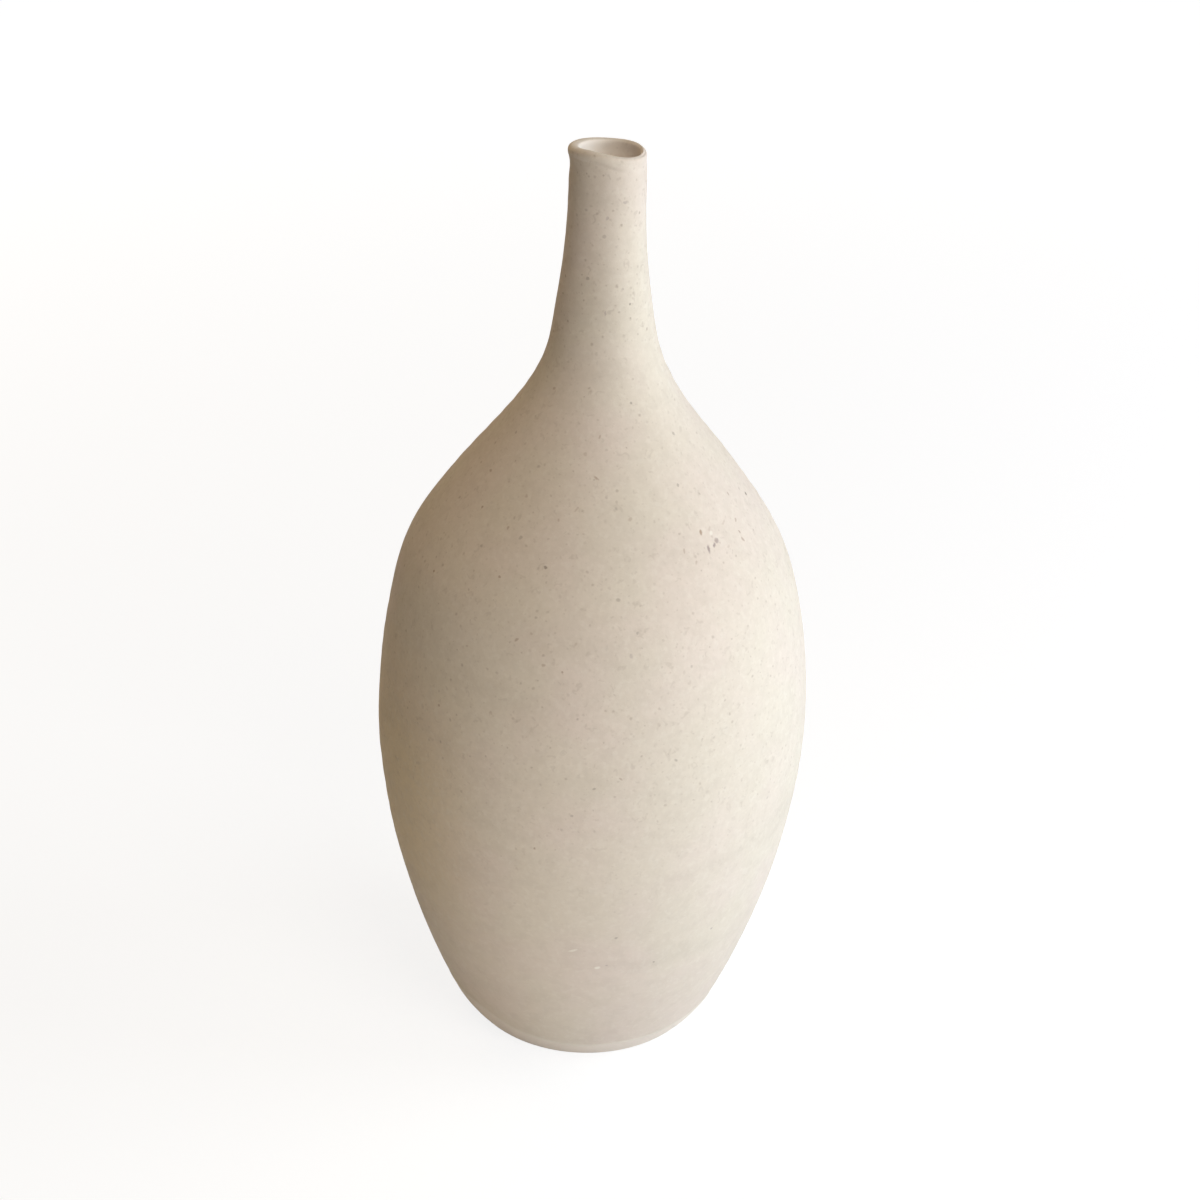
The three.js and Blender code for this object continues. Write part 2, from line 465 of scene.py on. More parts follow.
def skin():
    """The whole skin: rings of points, their normals, and the first row of each piece's stretches."""
    owners, lines = skin_profile()
    radius, height, shift, dip = joined(lines).T
    along = distance_along(joined(lines))
    starts = np.cumsum([0] + [len(line) - 1 for line in lines])
    angle = np.arange(COLUMNS) * 2 * math.pi / COLUMNS

    # The foot stands flat, and the lip is only a little uneven.
    foot = slice(0, starts[1] + 1)
    to_heel = np.interp(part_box("base_slab")[1].z, height[foot], along[foot])
    heel = along[starts[1]]
    knots = [0, BEVEL_START * to_heel, heel, heel + FULL_RELIEF_RISE, *along[starts[4:8]], along[-1]]
    share = np.interp(along, knots, RELIEF_SHARES)[:, None]
    relief = share * thrown_relief(angle[None, :], along[:, None])
    bevel = slice(np.searchsorted(along, TRIM_START * to_heel), starts[2])
    relief[bevel] += trim_relief(angle, height[bevel, None])
    outer = slice(starts[1], starts[5] + 1)
    relief[outer] += dent_relief(angle, along[outer, None], radius[outer], height[outer])

    lip = slice(starts[5], starts[6] + 1)
    seam = height[starts[5]]
    crest = along[lip][np.argmax(height[lip])]
    relief[lip] += lip_relief(angle, height[lip, None] - seam, along[lip, None] - crest)

    tangent = np.stack([np.gradient(radius, along), np.gradient(height, along)], axis=1)
    tangent /= np.linalg.norm(tangent, axis=1, keepdims=True)
    swell, lean = wobble(height)
    swell[radius < swell.max()] = 0
    reach = (radius + swell)[:, None] + relief * tangent[:, 1:]
    level = height[:, None] - relief * tangent[:, :1]
    x = reach * np.cos(angle) + (shift + lean)[:, None]
    y = reach * np.sin(angle)
    rises = [rise * MM * bell(angle, place, spread) for place, spread, rise in RIM_RISES]
    z = level + dip[:, None] * (sum(rises) - MOUTH_DIP * (x + CREST_RADIUS))
    points = np.stack([x, y, z], axis=-1)

    around = np.roll(points, -1, axis=1) - np.roll(points, 1, axis=1)
    normals = np.cross(around, np.gradient(points, axis=0))
    normals[0], normals[-1] = (0, 0, -1), (0, 0, 1)
    normals /= np.linalg.norm(normals, axis=-1, keepdims=True)
    return owners, starts, points, normals


# Pieces

# How much of its map a face gets when the material is baked: the skin outside, inside, and the rims.
# Then the margin left round each strip of the map.
OUTSIDE_SHARE = 1.0
INSIDE_SHARE = 0.35
RIM_SHARE = 0.15
MAP_MARGIN = 0.006


def key_rings(node, seam):
    """The V of a keyed joint at a seam, from the outside in, as three rings of points."""
    rings = rings_of(node)
    narrow, wide = rings[seam][-3:-1]
    tip_height = max(z for z, radii in rings.items() if z < seam and len(radii) == 1)
    angle = np.arange(COLUMNS) * 2 * math.pi / COLUMNS
    lean = wobble(np.array([seam]))[1][0]
    return [
        np.stack([radius * np.cos(angle) + lean, radius * np.sin(angle), np.full(COLUMNS, z)], axis=1)
        for radius, z in ((wide, seam), (rings[tip_height][0], tip_height), (narrow, seam))
    ]


def map_heights(rings, shares):
    """Where each band of faces lies across the map, from 0 to 1, by its width and its share."""
    middles = np.array([[np.hypot(ring[:, 0], ring[:, 1]).mean(), ring[:, 2].mean()] for ring in rings])
    widths = np.linalg.norm(np.roll(middles, -1, axis=0) - middles, axis=1)[: len(shares)]
    edges = np.concatenate([[0.0], np.cumsum(widths * shares)])
    return edges / edges[-1]


def shell(name, rings, normals, shares, strips):
    """A mesh from rings of points. shares gives each band of faces between a ring and the next.

    The map holds the piece in strips, each a part of the way round, one above another.
    """
    starts = np.cumsum([0] + [len(ring) for ring in rings])
    index = [start + np.arange(COLUMNS) % len(ring) for start, ring in zip(starts, rings)]
    points = np.concatenate(rings)
    vertex_normals = np.concatenate(normals)
    columns = COLUMNS // strips
    strip, place = np.divmod(np.arange(COLUMNS), columns)
    left = MAP_MARGIN + (1 - 2 * MAP_MARGIN) * place / columns
    right = left + (1 - 2 * MAP_MARGIN) / columns
    edges = map_heights(rings, shares)
    faces, facing, places, smooth = [], [], [], []
    for low, share in enumerate(shares):
        high = (low + 1) % len(rings)
        corners = [index[low], np.roll(index[low], -1), np.roll(index[high], -1), index[high]]
        bottom, top = (
            (strip + MAP_MARGIN + (1 - 2 * MAP_MARGIN) * edge) / strips for edge in edges[low : low + 2]
        )
        spots = [(left, bottom), (right, bottom), (right, top), (left, top)]
        kept = [0, 1, 2, 3]
        if len(rings[low]) == 1:
            kept.remove(1)
        if len(rings[high]) == 1:
            kept.remove(3)
        corners = np.stack([corners[i] for i in kept], axis=1)
        if share == RIM_SHARE:
            first, second, third = (points[corners[:, i]] for i in range(3))
            flat = np.cross(second - first, third - first)
            flat /= np.linalg.norm(flat, axis=1, keepdims=True)
            facing.append(np.repeat(flat, len(kept), axis=0))
        else:
            facing.append(vertex_normals[corners].reshape(-1, 3))
        faces += corners.tolist()
        places.append(np.stack([np.stack(spots[i], axis=1) for i in kept], axis=1).reshape(-1, 2))
        smooth += [share != RIM_SHARE] * COLUMNS
    mesh = bpy.data.meshes.new(name)
    mesh.from_pydata(points, [], faces)
    mesh.polygons.foreach_set("use_smooth", smooth)
    mesh.normals_split_custom_set(np.concatenate(facing))
    mesh.uv_layers.new(name="OFBake").uv.foreach_set("vector", np.concatenate(places).ravel())
    mesh.update()
    piece = bpy.data.objects.new(name, mesh)
    bpy.context.scene.collection.objects.link(piece)
    return piece


def build_pieces(material):
    """One closed piece for each section of the pot, cut from the skin and keyed at its seams."""
    owners, starts, points, normals = skin()
    lip = owners.index("lip_ring")
    for node in dict.fromkeys(owners):
        seams = sorted(z for z, radii in rings_of(node).items() if len(radii) > 2)
        keys = [key_rings(node, seams[-1])]
        if node in WALLS:
            keys.append(key_rings(node, seams[0])[::-1])
        elif node == "lip_ring":
            keys = [keys[0][::-1]]
        rings, facing, shares = [], [], []
        for i in [i for i, owner in enumerate(owners) if owner == node]:
            rows = slice(starts[i], starts[i + 1] + 1)
            rings += list(points[rows])
            facing += list(normals[rows])
            share = OUTSIDE_SHARE if i <= lip else INSIDE_SHARE
            shares += [share] * (starts[i + 1] - starts[i]) + [RIM_SHARE]
            if keys:
                key = keys.pop(0)
                rings += key
                facing += [np.zeros_like(ring) for ring in key]
                shares += [RIM_SHARE] * len(key)
        if node == "base_slab":
            # The skin of the foot and of the floor each closes in its centre.
            rings[0], rings[-1] = rings[0][:1], rings[-1][:1]
            facing[0], facing[-1] = facing[0][:1], facing[-1][:1]
            shares.pop()
        piece = shell(f"bisque_{node}", rings, facing, shares, 1 if node == "neck" else 2)
        piece.data.materials.append(material)
        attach(piece, "root")
        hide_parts(node)


# Clay

class Tree:
    """Adds nodes to a node tree. Values may be numbers, vectors or other nodes' output sockets."""

    def __init__(self, tree):
        self.tree = tree
        tree.nodes.clear()

    def add(self, kind, values=(), out=0, **settings):
        """A node of a kind, with values by input name or place. Returns one of its outputs."""
        node = self.tree.nodes.new(kind)
        for name, value in settings.items():
            setattr(node, name, value)
        for name, value in dict(values).items():
            socket = node.inputs[name]
            if isinstance(value, bpy.types.NodeSocket):
                self.tree.links.new(value, socket)
            else:
                socket.default_value = value
        return node.outputs[out] if node.outputs else node

    def math(self, operation, *values):
        return self.add("ShaderNodeMath", enumerate(values), operation=operation)

    def vector(self, operation, *values, out=0):
        return self.add("ShaderNodeVectorMath", enumerate(values), out=out, operation=operation)

    def ramp(self, value, low, high, start=0.0, end=1.0, smooth=True):
        """The value's range from low to high, mapped to start to end, level beyond."""
        values = {"Value": value, "From Min": low, "From Max": high, "To Min": start, "To Max": end}
        kind = "SMOOTHSTEP" if smooth else "LINEAR"
        return self.add("ShaderNodeMapRange", values, interpolation_type=kind)

    def noise(self, place, size, detail=2.0, roughness=0.5, out=0):
        """Noise with features of a size in metres."""
        values = {"Vector": place, "Scale": 1 / size, "Detail": detail, "Roughness": roughness}
        return self.add("ShaderNodeTexNoise", values, out=out)

    def tint(self, share, under, over):
        """Colour: under, with a share of over on it."""
        node = self.tree.nodes.new("ShaderNodeMix")
        node.data_type = "RGBA"
        for place, value in ((0, share), (6, under), (7, over)):
            if isinstance(value, bpy.types.NodeSocket):
                self.tree.links.new(value, node.inputs[place])
            else:
                node.inputs[place].default_value = (*value, 1) if isinstance(value, tuple) else value
        return node.outputs[2]


# In the tables below, a range gives a value at which something begins and one at which it is full. The
# shares at those two may follow.

# The clay's own two colours, and the range of the noise that mixes them
CLAY = (0.802, 0.722, 0.610)
PINK_CLAY = (0.817, 0.715, 0.624)
CLAY_MIX_SIZE = 34 * MM
CLAY_MIX_RANGE = (0.35, 0.68)

# Painted warm bounce light on the shaded left of the belly: ranges along X, downwards from the shoulder
# and up from the foot
PAINTED_BOUNCE_SIDE = (-0.026, -0.062)
PAINTED_BOUNCE_FROM_TOP = (0.170, 0.105)
PAINTED_BOUNCE_FROM_FOOT = (0.035, 0.085)
PAINTED_BOUNCE = (0.850, 0.715, 0.515)

# Cloudy level bands and patches: size, range of the noise with shares, and colour
CLOUD_SIZE = 16 * MM
CLOUD_RANGE = (0.48, 0.72, 0, 0.12)
CLOUD_SCALE = (0.3, 0.3, 1.0)
CLOUD = (0.52, 0.46, 0.38)
PATCH_SIZE = 5 * MM
PATCH_RANGE = (0.42, 0.72, 0, 0.13)
PATCH = (0.55, 0.47, 0.38)

# Fine grain, which is weaker low on the body, and pale grog
GRAIN_SIZE = 1.5 * MM
GRAIN_RANGE = (0.30, 0.66, 0, 0.13)
GRAIN_BY_HEIGHT = (0.03, 0.11, 0.4, 1.0)
GRAIN = (0.60, 0.52, 0.42)
GROG_SIZE = 1.9 * MM
GROG_RANGE = (0.52, 0.70, 0, 0.16)
GROG = (0.92, 0.86, 0.76)

# Specks all through the clay: cell size and speck radius in mm, share of cells that have one, strength
# and colour. They crowd and darken up the body and again up the neck. Their size varies between two
# factors, and their strength from a least share up to 1.
SPECKS = (
    (1.5, 0.42, 0.80, 0.24, (0.46, 0.37, 0.28)),
    (2.5, 0.48, 0.85, 0.42, (0.40, 0.30, 0.22)),
    (4.6, 0.52, 0.60, 0.42, (0.34, 0.25, 0.19)),
)
CROWD_ON_BODY = (0.035, 0.14, 0.1, 1.0)
CROWD_ON_NECK = (0.235, 0.255, 0, 0.35)
SPECK_SIZES = (0.55, 1.2)
SPECK_EDGE = (1.3, 0.25)
SPECK_LEAST = 0.3

# Ragged edges of specks and marks: size and depth of the bends
FRAY_SIZE = 1.3 * MM
FRAY_DEPTH = 0.75 * MM

# Short strokes: they follow the middle of one noise, where another is high
STROKE_BEND = 3.4 * MM
STROKE_WIDTH = (0.08, 0, 0, 0.18)
STROKE_SPACING = 3.1 * MM
STROKE_KEPT = (0.66, 0.74)
STROKE = (0.42, 0.33, 0.25)

# How deep a mark reaches into the clay, and the range over which its edge fades in
MARK_DEPTH = 2 * MM
MARK_EDGE = (1.25, 0.55)

# Marks at their places: angle in degrees, height, length and width in mm, tilt of the length from level
# in degrees, strength, colour
DARK = (0.22, 0.155, 0.11)
BROWN = (0.36, 0.22, 0.13)
GREY = (0.44, 0.35, 0.32)
# Painted highlight, for the lit sides of chips and bumps among the dents
PAINTED_HIGHLIGHT = (0.95, 0.90, 0.80)
MARKS = (
    (-106.8, 187.8, 1.1, 0.9, 0, 0.62, DARK),
    (-113.1, 263.9, 1.1, 1.1, 0, 0.36, DARK),
    (-91.0, 210.1, 1.8, 0.6, -30, 0.47, BROWN),
    (-111.5, 168.1, 1.5, 0.8, 40, 0.43, BROWN),
    (-118.7, 193.5, 1.2, 1.0, 20, 0.29, DARK),
    (-82.8, 181.0, 1.5, 1.2, 0, 0.32, DARK),
    (-103.1, 162.2, 1.3, 1.0, 20, 0.35, BROWN),
    (-9.0, 194.2, 1.3, 1.0, 30, 0.77, DARK),
    (-81.9, 202.9, 1.0, 0.9, 0, 0.22, DARK),
    (-121.5, 183.0, 1.0, 0.8, 0, 0.53, BROWN),
    (-77.6, 172.2, 1.0, 0.9, 0, 0.32, DARK),
    (-50.0, 206.1, 0.9, 0.9, 0, 0.38, DARK),
    (-76.4, 200.3, 1.4, 0.8, 30, 0.27, BROWN),
    (-149.7, 204.8, 1.3, 0.8, 0, 0.40, BROWN),
    (-92.3, 276.7, 1.3, 1.0, 0, 0.24, DARK),
    (-62.7, 286.5, 1.5, 0.9, 0, 0.41, GREY),
    (-57.3, 190.7, 1.4, 0.8, 80, 0.34, BROWN),
    (-37.8, 217.9, 1.2, 0.7, -60, 0.37, DARK),
    (-125.2, 194.7, 0.9, 0.8, 0, 0.42, BROWN),
    (-56.1, 256.2, 0.8, 0.8, 0, 0.56, DARK),
    (-141.3, 196.6, 0.9, 0.8, 0, 0.55, BROWN),
    (-65.1, 228.2, 0.9, 0.8, 0, 0.46, DARK),
    (-97.9, 215.6, 1.1, 0.9, 20, 0.21, BROWN),
    (-97.9, 160.8, 0.8, 0.8, 0, 0.53, BROWN),
    (-147.0, 176.7, 0.9, 0.8, 0, 0.70, BROWN),
    (-134.0, 230.2, 1.1, 0.9, 0, 0.36, BROWN),
    (-103.3, 101.4, 1.0, 0.8, 80, 0.51, BROWN),
    (-88.6, 124.6, 1.0, 1.0, 0, 0.37, DARK),
    (-133.1, 140.1, 1.0, 0.8, 90, 0.48, BROWN),
    (-67.8, 132.1, 1.2, 0.8, -50, 0.30, DARK),
    (-90.2, 220.0, 1.1, 0.8, 80, 0.36, BROWN),
    (-98.9, 202.5, 1.8, 0.6, 45, 0.25, BROWN),
    (-116.5, 144.3, 1.1, 0.8, -40, 0.24, BROWN),
    (-79.5, 165.9, 1.5, 1.0, -60, 0.34, GREY),
    (-82.2, 127.9, 1.6, 0.6, -40, 0.38, BROWN),
    (-94.0, 114.8, 1.0, 0.9, 0, 0.30, DARK),
    (-122.9, 203.2, 1.0, 0.9, 0, 0.28, BROWN),
    (-94.8, 169.2, 1.1, 0.8, 60, 0.19, BROWN),
    (-107.5, 170.6, 1.1, 0.8, -50, 0.25, BROWN),
    (-87.9, 254.1, 1.6, 0.7, 90, 0.43, GREY),
    (-88.8, 282.1, 1.2, 1.1, 20, 0.40, GREY),
    (-99.2, 231.4, 1.4, 0.7, -70, 0.17, BROWN),
    (-105.5, 199.4, 1.2, 0.7, 80, 0.28, BROWN),
    (-54.1, 187.1, 1.3, 0.7, 45, 0.26, BROWN),
    (-23.1, 198.6, 1.2, 0.7, 80, 0.45, BROWN),
    (-64.8, 204.4, 0.9, 0.7, 0, 0.08, BROWN),
    (-47.8, 193.8, 1.7, 1.1, 80, 0.69, BROWN),
    # The next three grey marks are painted shade in the chips of DENTS, and the two pale ones after them
    # painted highlights on their edges
    (-47.2, 189.4, 2.5, 1.1, 77, 0.95, GREY),
    (-42.3, 190.5, 1.7, 1.5, 40, 0.76, GREY),
    (-44.1, 189.7, 1.6, 0.9, 40, 0.95, GREY),
    (-43.3, 192.7, 1.7, 1.1, 0, 0.57, PAINTED_HIGHLIGHT),
    (-45.7, 189.8, 2.2, 0.9, 60, 0.14, PAINTED_HIGHLIGHT),
    (-43.3, 193.8, 2.0, 0.7, 25, 0.18, BROWN),
    (-27.6, 192.3, 1.2, 1.0, 30, 0.41, BROWN),
    (-29.1, 189.4, 1.4, 0.8, -60, 0.53, BROWN),
    (-29.3, 187.4, 1.5, 0.9, -60, 0.50, BROWN),
    (-35.1, 193.6, 2.2, 0.6, 15, 0.20, BROWN),
    (-38.1, 187.9, 1.4, 0.7, 10, 0.17, BROWN),
    # The last six marks lie on the dents near the foot: the pale ones are painted highlights on the
    # bumps, the grey and dark ones painted shade in the pits
    (-85.8, 51.8, 2.0, 1.4, 0, 0.78, PAINTED_HIGHLIGHT),
    (-93.1, 59.8, 3.5, 0.9, 25, 0.63, PAINTED_HIGHLIGHT),
    (-83.1, 52.9, 1.0, 0.8, 0, 0.40, GREY),
    (-81.0, 65.7, 1.0, 0.8, 0, 0.36, DARK),
    (-49.6, 59.0, 1.1, 0.9, 0, 0.55, GREY),
    (-68.3, 51.6, 0.9, 0.7, 0, 0.43, DARK),
)

# Lip: painted shade where it faces up, and painted light inside the mouth, most on the left
RIM_HEIGHTS = (0.2885, 0.2915)
PAINTED_SHADE_FACING = (0.55, 0.9, 0, 0.30)
PAINTED_TOP_SHADE = (0.52, 0.49, 0.44)
PAINTED_LIGHT_FACING = (-0.3, -0.8)
PAINTED_LIGHT_SIDE = (0.006, -0.004, 0.1, 0.9)
PAINTED_LIGHT_HEIGHTS = (0.26, 0.285)
PAINTED_MOUTH_LIGHT = (0.97, 0.90, 0.81)

# Trimmed band round the foot, pinker than the body and paler with painted bounce light, with a painted
# highlight along its upper end
BAND_DRIFT_SIZE = 9 * MM
BAND_DRIFT = 0.8 * MM
BAND_EDGE = (0.6 * MM, -0.4 * MM, 0, 0.75)
PINK_BAND_AND_PAINTED_LIGHT = (0.94, 0.85, 0.76)
PAINTED_RIDGE_HIGHLIGHT_RISE = 0.4 * MM
PAINTED_RIDGE_HIGHLIGHT_WIDTH = (1.1 * MM, 0.2 * MM, 0, 0.5)
PAINTED_RIDGE_HIGHLIGHT = (0.92, 0.86, 0.76)

# Relief too fine for the meshes: size, detail and depth of grit, of a leathery face and of turning lines
GRIT = (0.45 * MM, 2, 0.030 * MM)
LEATHER = (2.6 * MM, 3, 0.028 * MM)
TURNING = (1.3 * MM, 2, 0.022 * MM)
TURNING_SCALE = (0.06, 0.06, 1.0)

ROUGHNESS_SIZE = 3 * MM
ROUGHNESS_RANGE = (0.3, 0.7, 0.87, 0.97)
SPECULAR_LEVEL = 0.3


def mottled(tree, place, frayed, side, height):
    """The clay's colour under its specks, with painted warm bounce light on the left of the belly."""
    mix = tree.ramp(tree.noise(place, CLAY_MIX_SIZE, 2), *CLAY_MIX_RANGE)
    colour = tree.tint(mix, CLAY, PINK_CLAY)
    # Painted warm bounce light on the shaded left of the belly
    painted_bounce = tree.math("MULTIPLY", tree.ramp(side, *PAINTED_BOUNCE_SIDE), tree.ramp(height, *PAINTED_BOUNCE_FROM_TOP))
    painted_bounce = tree.math("MULTIPLY", painted_bounce, tree.ramp(height, *PAINTED_BOUNCE_FROM_FOOT))
    colour = tree.tint(painted_bounce, colour, PAINTED_BOUNCE)
    level = tree.add("ShaderNodeMapping", {"Vector": place, "Scale": CLOUD_SCALE})
    colour = tree.tint(tree.ramp(tree.noise(level, CLOUD_SIZE, 3), *CLOUD_RANGE), colour, CLOUD)
    colour = tree.tint(tree.ramp(tree.noise(place, PATCH_SIZE, 3), *PATCH_RANGE), colour, PATCH)
    grain = tree.ramp(tree.noise(place, GRAIN_SIZE, 2, 0.6), *GRAIN_RANGE)
    grain = tree.math("MULTIPLY", grain, tree.ramp(height, *GRAIN_BY_HEIGHT))
    colour = tree.tint(grain, colour, GRAIN)
    return tree.tint(tree.ramp(tree.noise(frayed, GROG_SIZE, 1), *GROG_RANGE), colour, GROG)


def specked(tree, place, frayed, height, colour):
    """The colour with iron specks and short strokes on it."""
    crowd = tree.math("ADD", tree.ramp(height, *CROWD_ON_BODY), tree.ramp(height, *CROWD_ON_NECK))
    for cell, radius, chance, strength, tone in SPECKS:
        cells = {"Vector": frayed, "Scale": 1 / (cell * MM)}
        voronoi = tree.add("ShaderNodeTexVoronoi", cells).node
        random = tree.add("ShaderNodeSeparateColor", {0: voronoi.outputs["Color"]}).node.outputs
        present = tree.math("LESS_THAN", random[0], tree.math("MULTIPLY", crowd, chance))
        least, most = (size * radius / cell for size in SPECK_SIZES)
        size = tree.ramp(random[1], 0, 1, least, most, smooth=False)
        core = tree.math("DIVIDE", voronoi.outputs["Distance"], size)
        spot = tree.math("MULTIPLY", tree.ramp(core, *SPECK_EDGE), present)
        rarity = tree.math("POWER", random[2], 2.0)
        depth = tree.math("MULTIPLY", spot, tree.ramp(rarity, 0, 1, SPECK_LEAST * strength, strength))
        colour = tree.tint(tree.math("MULTIPLY", depth, crowd), colour, tone)
    curl = tree.math("ABSOLUTE", tree.math("SUBTRACT", tree.noise(frayed, STROKE_BEND, 1), 0.5))
    kept = tree.ramp(tree.noise(place, STROKE_SPACING, 0), *STROKE_KEPT)
    stroke = tree.math("MULTIPLY", tree.ramp(curl, *STROKE_WIDTH), kept)
    return tree.tint(tree.math("MULTIPLY", stroke, crowd), colour, STROKE)


def marked(tree, place, colour):
    """The colour with the marks of MARKS on it, some of them painted shade and painted highlights on the
    dents.
    """
    outside = wall_curves()[0]
    for degrees, height, length, width, tilt, strength, tone in MARKS:
        radius = outside(height * MM)
        angle = math.radians(degrees)
        spot = {
            "Vector": place,
            "Location": (radius * math.cos(angle), radius * math.sin(angle), height * MM),
            "Rotation": (0, -math.radians(tilt), angle + math.pi / 2),
            "Scale": (length * MM / 2, MARK_DEPTH, width * MM / 2),
        }
        inside = tree.add("ShaderNodeMapping", spot, vector_type="TEXTURE")
        distance = tree.vector("LENGTH", inside, out="Value")
        share = tree.ramp(distance, *MARK_EDGE, 0, strength)
        colour = tree.tint(share, colour, tone)
    return colour


def lip_tinted(tree, place, side, height, colour):
    """The colour, with painted shade on top of the rim and painted light inside the mouth."""
    faces = tree.add("ShaderNodeNewGeometry", out="Normal")
    upward = tree.add("ShaderNodeSeparateXYZ", {0: faces}, out="Z")
    # Painted shade on the top of the rim, where it faces up
    painted_top_shade = tree.math("MULTIPLY", tree.ramp(upward, *PAINTED_SHADE_FACING), tree.ramp(height, *RIM_HEIGHTS))
    colour = tree.tint(painted_top_shade, colour, PAINTED_TOP_SHADE)
    # Painted light inside the mouth, most on the left wall
    outward = tree.vector("NORMALIZE", tree.vector("MULTIPLY", place, (1, 1, 0)))
    facing = tree.vector("DOT_PRODUCT", outward, faces, out="Value")
    painted_mouth_light = tree.math("MULTIPLY", tree.ramp(facing, *PAINTED_LIGHT_FACING), tree.ramp(side, *PAINTED_LIGHT_SIDE))
    painted_mouth_light = tree.math("MULTIPLY", painted_mouth_light, tree.ramp(height, *PAINTED_LIGHT_HEIGHTS))
    return tree.tint(painted_mouth_light, colour, PAINTED_MOUTH_LIGHT)


def foot_tinted(tree, place, turn, height, colour):
    """The colour, pinker and paler with painted bounce light below the line of TRIM_LINE, with a painted
    highlight along it.
    """
    way_round = tree.math("MULTIPLY_ADD", turn, 0.5 / math.pi, 0.5)
    curve = tree.add("ShaderNodeFloatCurve", {"Value": way_round})
    first, *between, last = [(degrees / 360 + 0.5, level / TRIM_TOP) for degrees, level in TRIM_LINE]
    stops = curve.node.mapping.curves[0].points
    stops[0].location, stops[-1].location = first, last
    for stop in between:
        stops.new(*stop)
    curve.node.mapping.update()
    drift = tree.math("MULTIPLY", tree.noise(place, BAND_DRIFT_SIZE, 2), BAND_DRIFT)
    above = tree.math("MULTIPLY_ADD", curve, -TRIM_TOP * MM, tree.math("ADD", height, drift))
    # The trimmed band: pinker clay, made paler with painted bounce light
    colour = tree.tint(tree.ramp(above, *BAND_EDGE), colour, PINK_BAND_AND_PAINTED_LIGHT)
    # Painted highlight along the soft ridge of the trimming line
    off_line = tree.math("ABSOLUTE", tree.math("SUBTRACT", above, PAINTED_RIDGE_HIGHLIGHT_RISE))
    return tree.tint(tree.ramp(off_line, *PAINTED_RIDGE_HIGHLIGHT_WIDTH), colour, PAINTED_RIDGE_HIGHLIGHT)


def fine_relief(tree, place):
    """The normal of a dry, finely grained face with level turning lines."""
    flat = tree.add("ShaderNodeMapping", {"Vector": place, "Scale": TURNING_SCALE})
    heights = [
        tree.math("MULTIPLY", tree.noise(where, size, detail), depth)
        for where, (size, detail, depth) in ((place, GRIT), (place, LEATHER), (flat, TURNING))
    ]
    relief = tree.math("ADD", tree.math("ADD", heights[0], heights[1]), heights[2])
    return tree.add("ShaderNodeBump", {"Strength": 1.0, "Distance": 1.0, "Height": relief})


def clay_material():
    """Unglazed pale clay: soft mottling, cloudy bands, iron specks, and a dry, finely grained face."""
    material = bpy.data.materials.new("bisque_clay")
    material.use_nodes = True
    tree = Tree(material.node_tree)
    place = tree.add("ShaderNodeTexCoord", out="Object")
    side, front, height = tree.add("ShaderNodeSeparateXYZ", {0: place}).node.outputs
    turn = tree.math("ARCTAN2", front, side)
    bent = tree.vector("SUBTRACT", tree.noise(place, FRAY_SIZE, 1, out="Color"), (0.5, 0.5, 0.5))
    frayed = tree.vector("MULTIPLY_ADD", bent, (FRAY_DEPTH,) * 3, place)

    colour = mottled(tree, place, frayed, side, height)
    colour = specked(tree, place, frayed, height, colour)
    colour = marked(tree, frayed, colour)
    colour = lip_tinted(tree, place, side, height, colour)
    colour = foot_tinted(tree, place, turn, height, colour)
    shader = tree.add("ShaderNodeBsdfPrincipled", {
        "Base Color": colour,
        "Roughness": tree.ramp(tree.noise(place, ROUGHNESS_SIZE, 3), *ROUGHNESS_RANGE),
        "Specular IOR Level": SPECULAR_LEVEL,
        "Normal": fine_relief(tree, place),
    })
    tree.add("ShaderNodeOutputMaterial", {"Surface": shader})
    return material


# Studio

FLOOR_SIZE = 4.0
FLOOR_COLOUR = (0.80, 0.80, 0.80)

# What the camera sees of the floor: how much of its own shade shows, and the white laid over it, which
# grows from near the vase to far from it
SEEN_SHADE = (0.22, 0.22, 0.22)
SEEN_WHITE = (0.84, 0.99)
SEEN_WHITE_REACH = (0.25, 1.3)

# Soft lamps: angle round the vase in degrees, distance, height, height aimed at, width, length, and
# power in red, green and blue. The first stands in front on the right, four stand on the right, two
# behind on the left, and one hangs overhead. Two small dim ones near the foot lighten what faces down
# in front.
LAMPS = (
    (-60, 0.80, 0.85, 0.15, 0.50, 0.50, (3.76, 3.60, 3.38)),
    (0, 0.80, 0.60, 0.15, 0.50, 0.50, (3.06, 3.38, 3.88)),
    (0, 0.80, 0.35, 0.15, 0.50, 0.50, (1.10, 1.22, 1.08)),
    (30, 0.80, 0.35, 0.15, 0.50, 0.50, (0.27, 0.36, 0.74)),
    (10, 0.80, 0.20, 0.12, 0.50, 0.30, (0.45, 0.40, 0.22)),
    (135, 0.80, 0.80, 0.15, 0.50, 0.50, (2.00, 1.47, 0.78)),
    (135, 0.60, 1.10, 0.15, 0.50, 0.50, (0.55, 0.48, 0.50)),
    (0, 0.00, 1.20, 0.15, 0.50, 0.50, (1.38, 1.05, 0.62)),
    (-90, 0.40, 0.12, 0.12, 0.30, 0.20, (0.22, 0.18, 0.13)),
    (-45, 0.35, 0.08, 0.08, 0.30, 0.14, (0.17, 0.22, 0.29)),
)


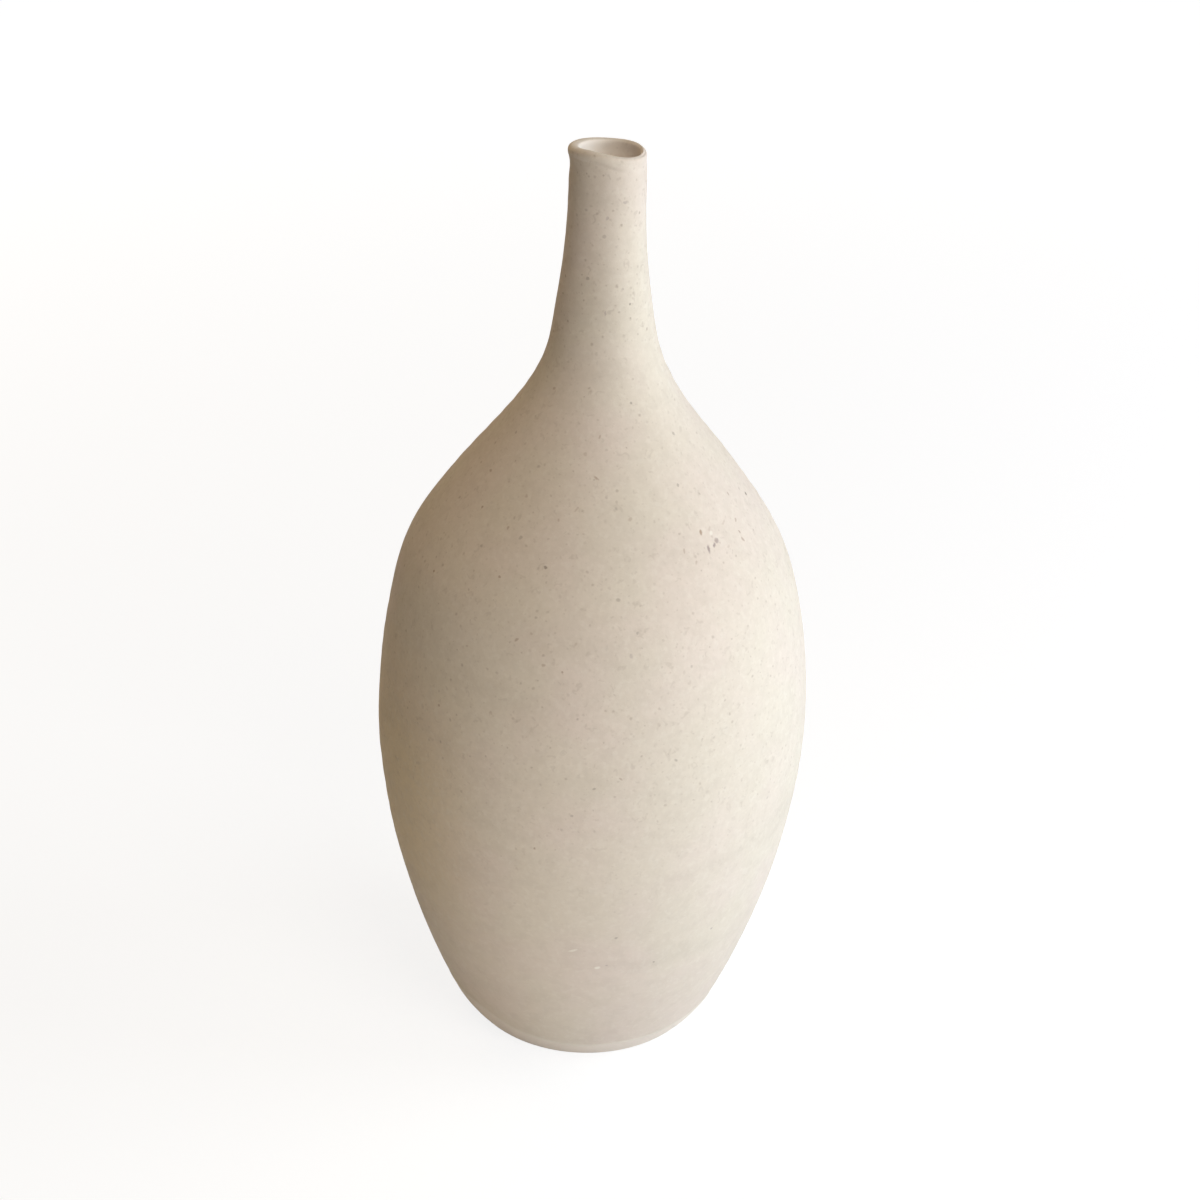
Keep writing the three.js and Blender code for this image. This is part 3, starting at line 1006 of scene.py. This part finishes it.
def studio_lamps():
    for degrees, distance, height, aim, width, length, power in LAMPS:
        light = bpy.data.lights.new("lamp", "AREA")
        light.shape, light.size, light.size_y = "RECTANGLE", width, length
        light.energy = max(power)
        light.color = [share / max(power) for share in power]
        lamp = bpy.data.objects.new("lamp", light)
        bpy.context.scene.collection.objects.link(lamp)
        angle = math.radians(degrees)
        lamp.location = (distance * math.cos(angle), distance * math.sin(angle), height)
        lamp.rotation_euler = (Vector((0, 0, aim)) - lamp.location).to_track_quat("-Z", "Y").to_euler()
        lamp.visible_camera = lamp.visible_glossy = False


def seen(tree):
    """1 for rays that show the background: straight, mirrored, or through something clear."""
    path = tree.add("ShaderNodeLightPath").node.outputs
    mirrored = tree.math("MAXIMUM", path["Is Glossy Ray"], path["Is Transmission Ray"])
    return tree.math("MAXIMUM", path["Is Camera Ray"], mirrored)


def studio_world():
    """A white ground that gives no light."""
    world = bpy.data.worlds.new("studio")
    bpy.context.scene.world = world
    world.use_nodes = True
    tree = Tree(world.node_tree)
    ground = tree.add("ShaderNodeBackground", {"Color": (1, 1, 1, 1), "Strength": seen(tree)})
    tree.add("ShaderNodeOutputWorld", {"Surface": ground})


def studio_floor():
    """A pale floor that looks white, with the vase's faint shadow on it. It can't be seen from below."""
    half = FLOOR_SIZE / 2
    mesh = bpy.data.meshes.new("floor")
    corners = [(-half, -half, 0), (half, -half, 0), (half, half, 0), (-half, half, 0)]
    mesh.from_pydata(corners, [], [(0, 1, 2, 3)])
    floor = bpy.data.objects.new("floor", mesh)
    bpy.context.scene.collection.objects.link(floor)
    floor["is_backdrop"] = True

    material = bpy.data.materials.new("floor_paper")
    material.use_nodes = True
    tree = Tree(material.node_tree)
    look = seen(tree)
    colour = tree.tint(look, FLOOR_COLOUR, SEEN_SHADE)
    paper = tree.add("ShaderNodeBsdfDiffuse", {"Color": colour})
    place = tree.add("ShaderNodeTexCoord", out="Object")
    away = tree.ramp(tree.vector("LENGTH", place, out="Value"), *SEEN_WHITE_REACH, *SEEN_WHITE)
    glow = tree.add("ShaderNodeEmission", {"Strength": tree.math("MULTIPLY", look, away)})
    lit = tree.add("ShaderNodeAddShader", {0: paper, 1: glow})
    clear = tree.add("ShaderNodeBsdfTransparent")
    below = tree.add("ShaderNodeNewGeometry", out="Backfacing")
    mixed = tree.add("ShaderNodeMixShader", {0: below, 1: lit, 2: clear})
    tree.add("ShaderNodeOutputMaterial", {"Surface": mixed})
    mesh.materials.append(material)


def studio_camera():
    camera = bpy.data.objects.new("camera", bpy.data.cameras.new("camera"))
    bpy.context.scene.collection.objects.link(camera)
    camera.data.lens = CAMERA_LENS
    camera.matrix_world = (
        Matrix.Translation(CAMERA_PLACE)
        @ Matrix.Rotation(math.pi / 2 - CAMERA_PITCH, 4, "X")
        @ Matrix.Rotation(CAMERA_ROLL, 4, "Z")
    )
    bpy.context.scene.camera = camera
    bpy.context.scene.view_settings.view_transform = "Standard"


build_pieces(clay_material())
studio_lamps()
studio_world()
studio_floor()
studio_camera()

sizes = {"cad": cad_box, "visual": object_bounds()}
{name: [list(corner) for corner in box] for name, box in sizes.items()}
